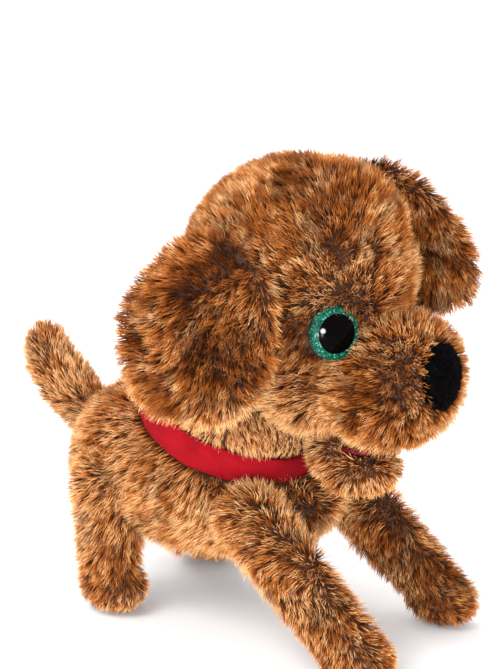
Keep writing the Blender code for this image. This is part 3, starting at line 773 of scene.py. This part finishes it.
put_points(body.data, tucked_in(points_of(body.data)))
groomed(body, body_flow, cover=body_cover, pale=0.2)
coat_of(body, 11, hairs=1.69e6, length=10, lean=0.6)
dressed(body, "body", "torso_plush")

# ---------------------------------------------------------------- legs
# Each leg is a stuffed plush tube slipped over its moulded bar and tied at the hip, with
# a round paw whose sole is a flat of short-clipped plush that the toy stands on.
HIP_SIDE = 41.5
PAWS = {"front": -103, "rear": 45}
HIPS = {"front": -42, "rear": 47}
for end, hip_y in HIPS.items():
    for side, sign in (("left", 1), ("right", -1)):
        x = sign * HIP_SIDE
        foot_y = PAWS[end]
        hip = (x - sign * 2.5, hip_y, 66)
        ankle = (x, foot_y + 4 if end == "front" else foot_y + 3, 17)
        girth = [15.5, 13.5] if end == "front" else [18, 13]
        leg_blobs = [(centre, (h * 0.8, h, h), 2.0) for centre, (h, _, _), _ in chain([hip, ankle], girth, 8)]
        leg_blobs.append(((x, foot_y, 12.5), (12, 17, 11.5), 2.3))
        leg = sewn_skin(f"{end}_{side}_leg_coat", leg_blobs, 3.2)
        leg_points = points_of(leg.data)
        leg_points[:, 2] = np.maximum(leg_points[:, 2], 0.8)
        put_points(leg.data, leg_points)

        def leg_flow(points, hip=np.array(hip), foot=np.array((x, foot_y, 10))):
            down = (foot - hip) / np.linalg.norm(foot - hip)
            with_body = np.clip((points[:, 2:3] - 42) / 22, 0, 1) * (np.array([0, 0.7, -0.75]) - down)
            return down + with_body + (points - np.array((x, foot_y, 0))) * 0.004

        def leg_cover(points, normals):
            return np.where((points[:, 2] < 3) & (normals[:, 2] < -0.5), 0.0, 1.0)

        def leg_pile(points, normals):
            return np.clip(0.45 + points[:, 2] / 60, 0.45, 1)

        # The far (left) legs get a lower pale level than the near (right) ones: painted shade on the far
        # side. Below 45 mm the pile grows darker towards the paw.
        def leg_pale(points, normals, wear_and_far_shade=0.05 if sign > 0 else 0.22):
            return np.where(points[:, 2] > 45, wear_and_far_shade, wear_and_far_shade - (45 - points[:, 2]) / 250)

        def leg_lay(points, normals):
            return np.clip(0.5 + (70 - points[:, 2]) / 30, 0.5, 1)

        groomed(leg, leg_flow, cover=leg_cover, pile=leg_pile, pale=leg_pale, lay=leg_lay)
        coat_of(leg, 20 + foot_y, hairs=1.69e6, length=9, lean=0.7)
        dressed(leg, f"{end}_{side}_leg", f"{end}_{side}_leg_plush")

# ---------------------------------------------------------------- tail
# A short plush sleeve over a bent moulded arm, which stands up from the rump and wags.
TAIL_LINE = [(0, 84, 84), (0, 98, 91), (0, 110, 100), (0, 119, 110), (0, 123, 118), (0, 124, 123)]
TAIL_RADII = [8, 10.5, 11, 10.5, 9, 6.5]
tail = sewn_skin("tail_coat", chain(TAIL_LINE, TAIL_RADII, 4), 2.6)


def tail_flow(points):
    """Brushed towards the tip, fanning out round it."""
    return np.tile([0.0, 0.45, 0.89], (len(points), 1)) + (points - np.array([0, 100, 100])) * 0.004


groomed(tail, tail_flow, pale=0.25)
coat_of(tail, 31, hairs=1.95e6, length=9, lean=0.65)
dressed(tail, "tail", "tail_plush")

# ---------------------------------------------------------------- neck and collar
# A gathered sleeve of the same plush joins the body to the head. The
# collar is a flat strip of red felt, cut with a blade and glued end to end at the nape.
NECK_STATIONS = [(-7, 40.5), (1, 41), (9, 44), (14, 45), (21, 42), (28, 36), (35, 28)]
COLLAR_INNER = 44.6
COLLAR_OUTER = 47.2
COLLAR_HALF = 8.0


def neck_point(height, radius, turn):
    across = np.array([0.0, math.cos(NECK_TILT), math.sin(NECK_TILT)])
    sideways = np.array([1.0, 0.0, 0.0])
    return NECK_FOOT + NECK_WAY * height + radius * (math.cos(turn) * sideways + math.sin(turn) * across)


def ring_skin(name, stations, columns, closed=False, wobble=None):
    """A sleeve round the neck from height and radius pairs."""
    shape = bmesh.new()
    rings = []
    for number, (height, radius) in enumerate(stations):
        ring = []
        for i in range(columns):
            turn = 2 * math.pi * i / columns
            lift = wobble(turn, number) if wobble else 0
            ring.append(shape.verts.new(Vector(neck_point(height + lift, radius, turn)) * MM))
        rings.append(ring)
    pairs = list(zip(rings, rings[1:]))
    if closed:
        pairs.append((rings[-1], rings[0]))
    for low, high in pairs:
        for i in range(columns):
            j = (i + 1) % columns
            shape.faces.new((low[i], low[j], high[j], high[i]))
    if not closed:
        shape.faces.new(rings[-1])
        shape.faces.new(list(reversed(rings[0])))
    bmesh.ops.recalc_face_normals(shape, faces=shape.faces)
    return linked(name, shape)


neck = ring_skin("neck_coat", NECK_STATIONS, 60)


def neck_flow(points):
    return unit_rows(from_neck(points)) * 0.6 - NECK_WAY


def neck_cover(points, normals):
    height = neck_height(points)
    return np.where((height > 12) & (height < 33), 1.0, 0.0)


def neck_pile(points, normals):
    """Clipped short under the chin, where the jaw comes down."""
    return np.where((points[:, 1] < -26) & (np.abs(points[:, 0]) < 24), 0.4, 0.7)


groomed(neck, neck_flow, cover=neck_cover, pile=neck_pile, pale=0.75)
coat_of(neck, 41, hairs=2.6e6, length=9, lean=0.95)
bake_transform(neck)


DRY = {"Specular_IOR_Level": 0.08}


def felt_paint(dark, light, fibre_mm=0.5):
    """Pressed felt: crossed fibres, a faint cloudy dye and a dry nap."""

    def paint(net, place):
        fibres = noise(net, place, fibre_mm, 4, 0.7)
        stretched = net.add("ShaderNodeMapping", None, {"Vector": place, "Scale": (1, 1, 0.25)})
        strands = noise(net, stretched, fibre_mm * 0.8, 3, 0.6)
        cloud = noise(net, place, 12, 2)
        tone = (fibres * 0.5 + strands * 0.3 + cloud * 0.4 - 0.1).between(0.3, 0.7)
        height = fibres * 0.6 + strands * 0.4
        bump = net.add("ShaderNodeBump", None, {"Strength": 0.9, "Distance": 0.0007, "Height": height})
        return {"Base Color": net.mixed(tone, dark, light), "Normal": bump}

    return paint


red_felt = finish_of(
    "red_felt", felt_paint((0.17, 0.002, 0.006), (0.4, 0.007, 0.014)), 0.95, (0.45, 0.015, 0.025), **DRY
)
collar_stations = [
    (-COLLAR_HALF, COLLAR_INNER),
    (-COLLAR_HALF, COLLAR_OUTER - 0.7),
    (-COLLAR_HALF + 0.6, COLLAR_OUTER),
    (-3, COLLAR_OUTER + 0.25),
    (0, COLLAR_OUTER + 0.3),
    (3, COLLAR_OUTER + 0.25),
    (COLLAR_HALF - 0.6, COLLAR_OUTER),
    (COLLAR_HALF, COLLAR_OUTER - 0.7),
    (COLLAR_HALF, COLLAR_INNER),
    (0, COLLAR_INNER - 0.1),
]


def hand_cut(turn, number):
    """The cut edge wanders a little, as scissors leave it."""
    return 0.35 * math.sin(5 * turn + 1.3) + 0.2 * math.sin(11 * turn)


collar = ring_skin("collar_band", collar_stations, 180, True, hand_cut)
collar.data.shade_smooth()
collar.data.materials.append(red_felt)
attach(collar, "body")
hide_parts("collar")

# ---------------------------------------------------------------- head
# Skull, cheeks and muzzle are cut as gores and sewn over the moulded shell. The muzzle is
# a short round cushion whose seam pulls into a crease under the eyes.
HEAD_BLOBS = [
    ((0, -42, 181), (51.5, 53, 54), 2.0),
    ((0, -60, 189), (40, 33, 46), 2.0),
    ((0, -58, 134), (38, 26, 23), 2.0),
    ((0, -97, 138), (36, 25, 27.5), 2.4),
]
NOSE_SPOT = np.array([0.0, -120.0, 142.0])
EYE_SPOTS = {"right": np.array([-34.0, -84.0, 166.0]), "left": np.array([34.0, -84.0, 166.0])}
EYE_WAYS = {"right": np.array([-0.5, -0.86, 0.08]), "left": np.array([0.5, -0.86, 0.08])}
EYE_RADIUS = 12.7
head = sewn_skin("head_coat", HEAD_BLOBS, 3.6, 4)


def face_seams(points):
    """Stitched down round the eyes, at the muzzle's seam and at the neck."""
    held = neck_height(points) < 26
    for side in EYE_SPOTS:
        held |= np.linalg.norm(points - EYE_SPOTS[side], axis=1) < EYE_RADIUS
    held |= np.linalg.norm(points - NOSE_SPOT, axis=1) < 18
    return held


stuffed(head, 4.0, 2.5, face_seams)


def creased(skin, creases):
    """Pulls the skin in along each stitched line, by its own width and depth."""
    points, normals = points_of(skin.data), normals_of(skin.data)
    dip = np.zeros(len(points))
    for start, end, width, depth in creases:
        dip += depth * np.exp(-((line_gap(points, start, end)[0] / width) ** 2))
    put_points(skin.data, points - normals * dip[:, None])


creased(
    head,
    [(spot, spot + [0, 0, 0.1], 13, 3.0) for spot in EYE_SPOTS.values()]
    + [
        ((-31, -76, 141), (-33, -89, 148), 6, 3.0),
        ((-33, -89, 148), (-26, -102, 157), 6, 3.0),
        ((-34, -98, 128), (-29, -87, 123), 6, 2.0),
        ((31, -76, 141), (33, -89, 148), 6, 3.0),
        ((33, -89, 148), (26, -102, 157), 6, 3.0),
    ],
)

HEAD_PARTINGS = [
    ((-29, -81, 205), (-26, -85, 200), 5, 1.0),
    ((-13, -91, 203), (-11, -92, 199), 4.5, 0.9),
    ((-45, -69, 174), (-44, -70, 168), 4, 0.8),
    ((-33, -76, 141), (-33, -89, 148), 4.5, 0.8),
    ((-33, -89, 148), (-26, -102, 157), 4.5, 0.8),
    ((-35, -98, 129), (-29, -87, 123), 5.5, 0.9),
    ((27, -83, 205), (23, -87, 199), 5, 1.0),
    ((33, -76, 141), (33, -89, 148), 4.5, 0.8),
    ((33, -89, 148), (26, -102, 157), 4.5, 0.8),
]


def head_flow(points):
    """Brushed back from the nose, up over the brow and down the cheeks."""
    from_nose = unit_rows(points - NOSE_SPOT)
    droop = np.tile([0.0, 0.0, -0.35], (len(points), 1))
    rise = np.clip((points[:, 2:3] - 185) / 40, 0, 1) * np.array([0, 0.1, 0.5])
    return from_nose + droop + rise


def head_cover(points, normals):
    cover = np.ones(len(points))
    for side in EYE_SPOTS:
        gap = np.linalg.norm(np.cross(points - EYE_SPOTS[side], EYE_WAYS[side]), axis=1)
        cover[(gap < EYE_RADIUS - 0.8) & (points[:, 1] < -60)] = 0
    nose_gap = np.hypot(points[:, 0], points[:, 2] - NOSE_SPOT[2])
    cover[(nose_gap < 16.5) & (points[:, 1] < -105)] = 0
    mouth = (points[:, 2] < 113) & (np.abs(points[:, 0]) < 15) & (points[:, 1] < -80)
    cover[mouth] = 0
    cover[(neck_height(points) < 24) & (points[:, 1] > -40)] = 0
    return cover


def head_pale(points, normals):
    """Cheeks and the lower edge of the face are paler than the crown."""
    x, y, z = points.T
    cheek = np.exp(-(((z - 122) / 16) ** 2) - ((y + 50) / 34) ** 2)
    muzzle = np.exp(-(((y + 105) / 22) ** 2) - ((z - 142) / 22) ** 2)
    crown = np.clip((z - 185) / 35, 0, 1)
    return 0.14 + 0.34 * cheek - 0.16 * muzzle - 0.28 * crown


def head_pile(points, normals):
    pile = np.ones(len(points))
    for side in EYE_SPOTS:
        gap = np.linalg.norm(points - EYE_SPOTS[side], axis=1)
        pile -= 0.35 * np.exp(-((gap / 19) ** 2))
    nose_gap = np.linalg.norm(points - NOSE_SPOT, axis=1)
    pile -= 0.5 * np.exp(-((nose_gap / 23) ** 2))
    return pile


def head_lay(points, normals):
    """The pile stands up round the nose and lies down further back."""
    nose_gap = np.linalg.norm(points - NOSE_SPOT, axis=1)
    return 1 - 0.75 * np.exp(-((nose_gap / 24) ** 2))


groomed(head, head_flow, HEAD_PARTINGS, head_cover, head_pile, head_pale, head_lay)
coat_of(head, 51, hairs=2.08e6, length=9.5, lean=0.55)
dressed(head, "head", "head_plush")

# ---------------------------------------------------------------- ears
# Two plush flaps, each a front and a back sewn edge to edge with a thin filling, folded
# over at the root and stitched into the skull's side seam.
RIGHT_EAR = {"centre": (-71, -31.5, 168.5), "half": (4.2, 40.5, 41.5)}
RIGHT_TILT = math.radians(15)
LEFT_ROOT = np.array([46.0, -42.0, 229.5])
LEFT_WAY = Vector((0.36, -0.47, -0.81)).normalized()


def ear_skin(name, centre, half, turn, narrow_back=0.0):
    shape = bmesh.new()
    blob_mesh(shape, (0, 0, 0), half, 2.3)
    for vert in shape.verts:
        y, z = vert.co.y / MM, vert.co.z / MM
        cup = (y * y + z * z) / 1800 * 2.0
        vert.co.x += cup * MM
        if y > 0 and z > 0:
            vert.co.y *= 1 - narrow_back * min(1, z / half[2]) ** 1.2
    bmesh.ops.rotate(shape, verts=shape.verts, cent=(0, 0, 0), matrix=turn)
    bmesh.ops.translate(shape, verts=shape.verts, vec=Vector(centre) * MM)
    ear = linked(name, shape)
    remesh = ear.modifiers.new("sew", "REMESH")
    remesh.mode = "VOXEL"
    remesh.voxel_size = 2.8 * MM
    return settled(ear)


def radial_flow(root):
    root = np.array(root, float)

    def flow(points):
        return unit_rows(points - root)

    return flow


right_ear = ear_skin(
    "right_ear_coat", RIGHT_EAR["centre"], RIGHT_EAR["half"], Matrix.Rotation(RIGHT_TILT, 3, "Y"), 0.4
)
RIGHT_FOLD = [
    ((-69, -31, 184), (-65, -49, 201), 5.5, 1.0),
    ((-65, -49, 201), (-64, -70, 205), 5.5, 1.0),
    ((-77, -12, 157), (-75, -4, 163), 4.5, 0.8),
]
creased(right_ear, [(start, end, 6, 2.2) for start, end, _, _ in RIGHT_FOLD])


def fold_flow(points):
    """Brushed away from the nearer half of the fold."""
    (near, away), (far, off) = (line_gap(points, start, end) for start, end, _, _ in RIGHT_FOLD[:2])
    return np.where((near < far)[:, None], away, off)


def right_ear_rim_light_and_tone(points, normals):
    """The flap's rim is painted paler out to its cream tips, most of all below: painted rim light, for the
    backlit tips at the flap's edge.
    """
    flat = points - np.array(RIGHT_EAR["centre"], float)
    rim = np.hypot(flat[:, 1] / 41, flat[:, 2] / 41)
    low = np.clip(-flat[:, 2] / 41, 0, 1)
    # Paler rim: painted light on the edge of the flap; the rest of the flap is set a little darker.
    return np.clip((rim - 0.78) / 0.2, 0, 1) * (0.12 + 0.35 * low) - 0.19 + 0.08 * low


groomed(right_ear, fold_flow, RIGHT_FOLD, pale=right_ear_rim_light_and_tone)
coat_of(right_ear, 61, hairs=2.21e6, length=9, lean=0.55)
dressed(right_ear, "right_ear", "ear_right")

seam = Vector((0, 1, 0))
width_way = (seam - LEFT_WAY * seam.dot(LEFT_WAY)).normalized()
face = width_way.cross(LEFT_WAY)
left_turn = Matrix((face, width_way, LEFT_WAY)).transposed()
left_centre = LEFT_ROOT + np.array(LEFT_WAY) * 46
left_ear = ear_skin("left_ear_coat", left_centre, (4.2, 34.5, 43.5), left_turn)
groomed(left_ear, radial_flow(LEFT_ROOT + np.array(LEFT_WAY) * 12), pale=-0.12)
coat_of(left_ear, 71, hairs=2.08e6, length=9, lean=0.65)
dressed(left_ear, "left_ear", "ear_left")

# ---------------------------------------------------------------- eyes
# Stock toy eyes: a black pupil dome over a disc of green glitter under clear plastic, on
# a stem that passes through the skin and is locked behind it.
EYE_PROFILE = [
    (0.0, -2.0),
    (11.5, -2.0),
    (12.5, -1.2),
    (12.7, 0.0),
    (12.4, 0.9),
    (11.6, 1.7),
    (10.4, 2.1),
    (9.3, 2.4),
]
PUPIL_PROFILE = [(9.3, 2.4), (8.9, 2.6), (7.8, 3.1), (6.3, 3.6), (4.6, 4.0), (2.5, 4.3), (0.0, 4.4)]


def lathe(shape, profile, centre, way, columns=64, material=0):
    """Turns a profile of radius and height pairs about an axis, in millimetres."""
    way = Vector(way).normalized()
    side = way.orthogonal().normalized()
    other = way.cross(side)
    rings = []
    for radius, height in profile:
        middle = Vector(centre) + way * height
        if radius == 0:
            rings.append([shape.verts.new(middle * MM)])
            continue
        ring = []
        for i in range(columns):
            turn = 2 * math.pi * i / columns
            spoke = side * math.cos(turn) + other * math.sin(turn)
            ring.append(shape.verts.new((middle + spoke * radius) * MM))
        rings.append(ring)
    for low, high in zip(rings, rings[1:]):
        for i in range(columns):
            j = (i + 1) % columns
            corners = [low[i % len(low)], low[j % len(low)], high[j % len(high)], high[i % len(high)]]
            face = shape.faces.new(list(dict.fromkeys(corners)))
            face.material_index = material


def glitter_paint(net, place):
    """Chips of green foil, each tilted its own way, some of them painted bright as glints."""
    chips = net.add("ShaderNodeTexVoronoi", None, {"Vector": place, "Scale": 1500.0}, "Color")
    split = net.add("ShaderNodeSeparateColor", None, {"Color": chips}, "Red")
    painted_glint = split.between(0.82, 0.97)
    deep = net.mixed(split.of("Green"), (0.0, 0.02, 0.012), (0.0, 0.1, 0.06))
    # The bright chips are painted glints: a painted highlight laid into the foil's base colour.
    colour = net.mixed(painted_glint, deep, (0.08, 0.42, 0.3))
    bump = net.add("ShaderNodeBump", None, {"Strength": 0.5, "Distance": 0.0004, "Height": split.of("Blue")})
    return {"Base Color": colour, "Roughness": 0.25 + 0.3 * split.of("Green"), "Normal": bump}


# Centres of the pale spots painted on the pupils: painted highlights where the lamp's reflection would sit.
PAINTED_EYE_HIGHLIGHTS = [(-41.9, -82.6, 168.4), (30.7, -91.4, 168.4)]


def pupil_paint(net, place):
    """Black plastic with a faint mottle, and a pale pearl spot painted towards one side: a painted highlight
    that stands in for the lamp's reflection.
    """
    mottle = noise(net, place, 2, 3).between(0.3, 0.7)
    black = net.mixed(mottle, (0.0008, 0.0006, 0.0006), (0.002, 0.0016, 0.0015))
    # Each pale spot is a painted highlight, mixed into the pupil's base colour.
    for highlight_spot in PAINTED_EYE_HIGHLIGHTS:
        gap = net.vector("DISTANCE", place, tuple(c * MM for c in highlight_spot)).of("Value")
        black = net.mixed(1 - gap.between(0.7 * MM, 1.5 * MM), black, (0.5, 0.5, 0.52))
    return {
        "Base Color": black,
        "Roughness": 0.1 + 0.04 * mottle,
    }


glitter = finish_of(
    "green_glitter", glitter_paint, 0.3, (0.0, 0.18, 0.11), Specular_IOR_Level=0.15, Coat_Weight=0.06
)
pupil = finish_of("black_pupil", pupil_paint, 0.1, (0.005, 0.004, 0.004), Specular_IOR_Level=0.02)
for side, spot in EYE_SPOTS.items():
    way = Vector(EYE_WAYS[side])
    shape = bmesh.new()
    seat = Vector(spot) - way.normalized() * 0.5
    lathe(shape, EYE_PROFILE, seat, way)
    lathe(shape, PUPIL_PROFILE, seat, way, material=1)
    lathe(shape, [(2.0, -11.0), (2.0, -1.9)], seat, way, 16, 1)
    bmesh.ops.remove_doubles(shape, verts=shape.verts, dist=1e-6)
    bmesh.ops.recalc_face_normals(shape, faces=shape.faces)
    eye = linked(f"{side}_eye", shape)
    eye.data.shade_smooth()
    eye.data.materials.append(glitter)
    eye.data.materials.append(pupil)
    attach(eye, "head")
    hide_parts(f"eye_{side}")

# ---------------------------------------------------------------- nose
# A small pad of black short-pile cloth, drawn up over filling and sewn into the muzzle.
nose = sewn_skin("nose_pad", [((0, -118, 142), (15.8, 8.6, 15.6), 2.2)], 1.6, 3)


def nose_paint(net, place):
    tone = noise(net, place, 3, 3).between(0.3, 0.7)
    return {"Base Color": net.mixed(tone, (0.0015, 0.001, 0.0015), (0.006, 0.005, 0.0055))}


nose_nap = finish_of("black_nap", nose_paint, 0.85, (0.004, 0.003, 0.004), Specular_IOR_Level=0.06)
groomed(nose, radial_flow((0, -125, 150)))
coat_of(nose, 81, hairs=9e6, length=2.2, lean=0.6, width=0.3, tuft=2, pile=nose_nap, floor=nose_nap)
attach(nose, "head")
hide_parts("nose")

# ---------------------------------------------------------------- mouth and jaw
# Two tongues of maroon felt line the mouth, one glued under the muzzle and one on the
# lower jaw, a small stuffed plush lip on a moulded tray.
maroon_felt = finish_of(
    "maroon_felt", felt_paint((0.09, 0.003, 0.008), (0.24, 0.012, 0.028)), 0.95, (0.16, 0.006, 0.016), **DRY
)


def felt_tongue(name, outline, low, high, bow):
    """A cut piece of felt, bowed across its width."""
    shape = bmesh.new()
    top = [shape.verts.new(Vector((x, y, high)) * MM) for x, y in outline]
    face = shape.faces.new(top)
    bmesh.ops.triangulate(shape, faces=[face])
    bmesh.ops.subdivide_edges(shape, edges=shape.edges, cuts=4, use_grid_fill=True)
    wide = max(abs(x) for x, _ in outline)
    for vert in shape.verts:
        vert.co.z += bow * (vert.co.x / MM / wide) ** 2 * MM
    made = linked(name, shape)
    thick = made.modifiers.new("felt", "SOLIDIFY")
    thick.thickness = (high - low) * MM
    settled(made)
    made.data.shade_smooth()
    made.data.materials.append(maroon_felt)
    return made


roof_outline = [(-9, -79), (9, -79), (15, -85), (16, -95), (13, -105), (6, -111)]
roof_outline += [(-6, -111), (-13, -105), (-16, -95), (-15, -85)]
roof = felt_tongue("mouth_roof", roof_outline, 106.8, 108.4, 0.5)
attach(roof, "head")
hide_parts("mouth_lining")

JAW_BLOBS = [
    ((0, -78, 90.5), (17.5, 17.5, 9.5), 2.3),
    ((0, -67, 98), (17.5, 11, 13), 2.2),
    ((0, -65, 109), (16, 9, 8), 2.2),
]
jaw = sewn_skin("jaw_coat", JAW_BLOBS, 2.6, 3)
jaw_points = points_of(jaw.data)
in_mouth = jaw_points[:, 1] < -74
jaw_points[in_mouth, 2] = np.minimum(jaw_points[in_mouth, 2], 98.4)
put_points(jaw.data, jaw_points)


def jaw_cover(points, normals):
    on_tongue = (np.abs(points[:, 0]) < 11) & (points[:, 1] < -71) & (points[:, 1] > -88)
    return np.where((normals[:, 2] > 0.6) & on_tongue, 0.0, 1.0)


groomed(jaw, radial_flow((0, -92, 104)), cover=jaw_cover, pile=0.75, pale=0.15)
coat_of(jaw, 91, hairs=2.08e6, length=8.5, lean=0.65)
dressed(jaw, "jaw", "jaw_plush")

tongue_outline = [(-9, -72), (9, -72), (13, -77), (14, -83), (11.5, -89), (6, -92.5)]
tongue_outline += [(-6, -92.5), (-11.5, -89), (-14, -83), (-13, -77)]
tongue = felt_tongue("mouth_floor", tongue_outline, 99.4, 101.2, 0.6)
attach(tongue, "jaw")
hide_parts("jaw_lining")
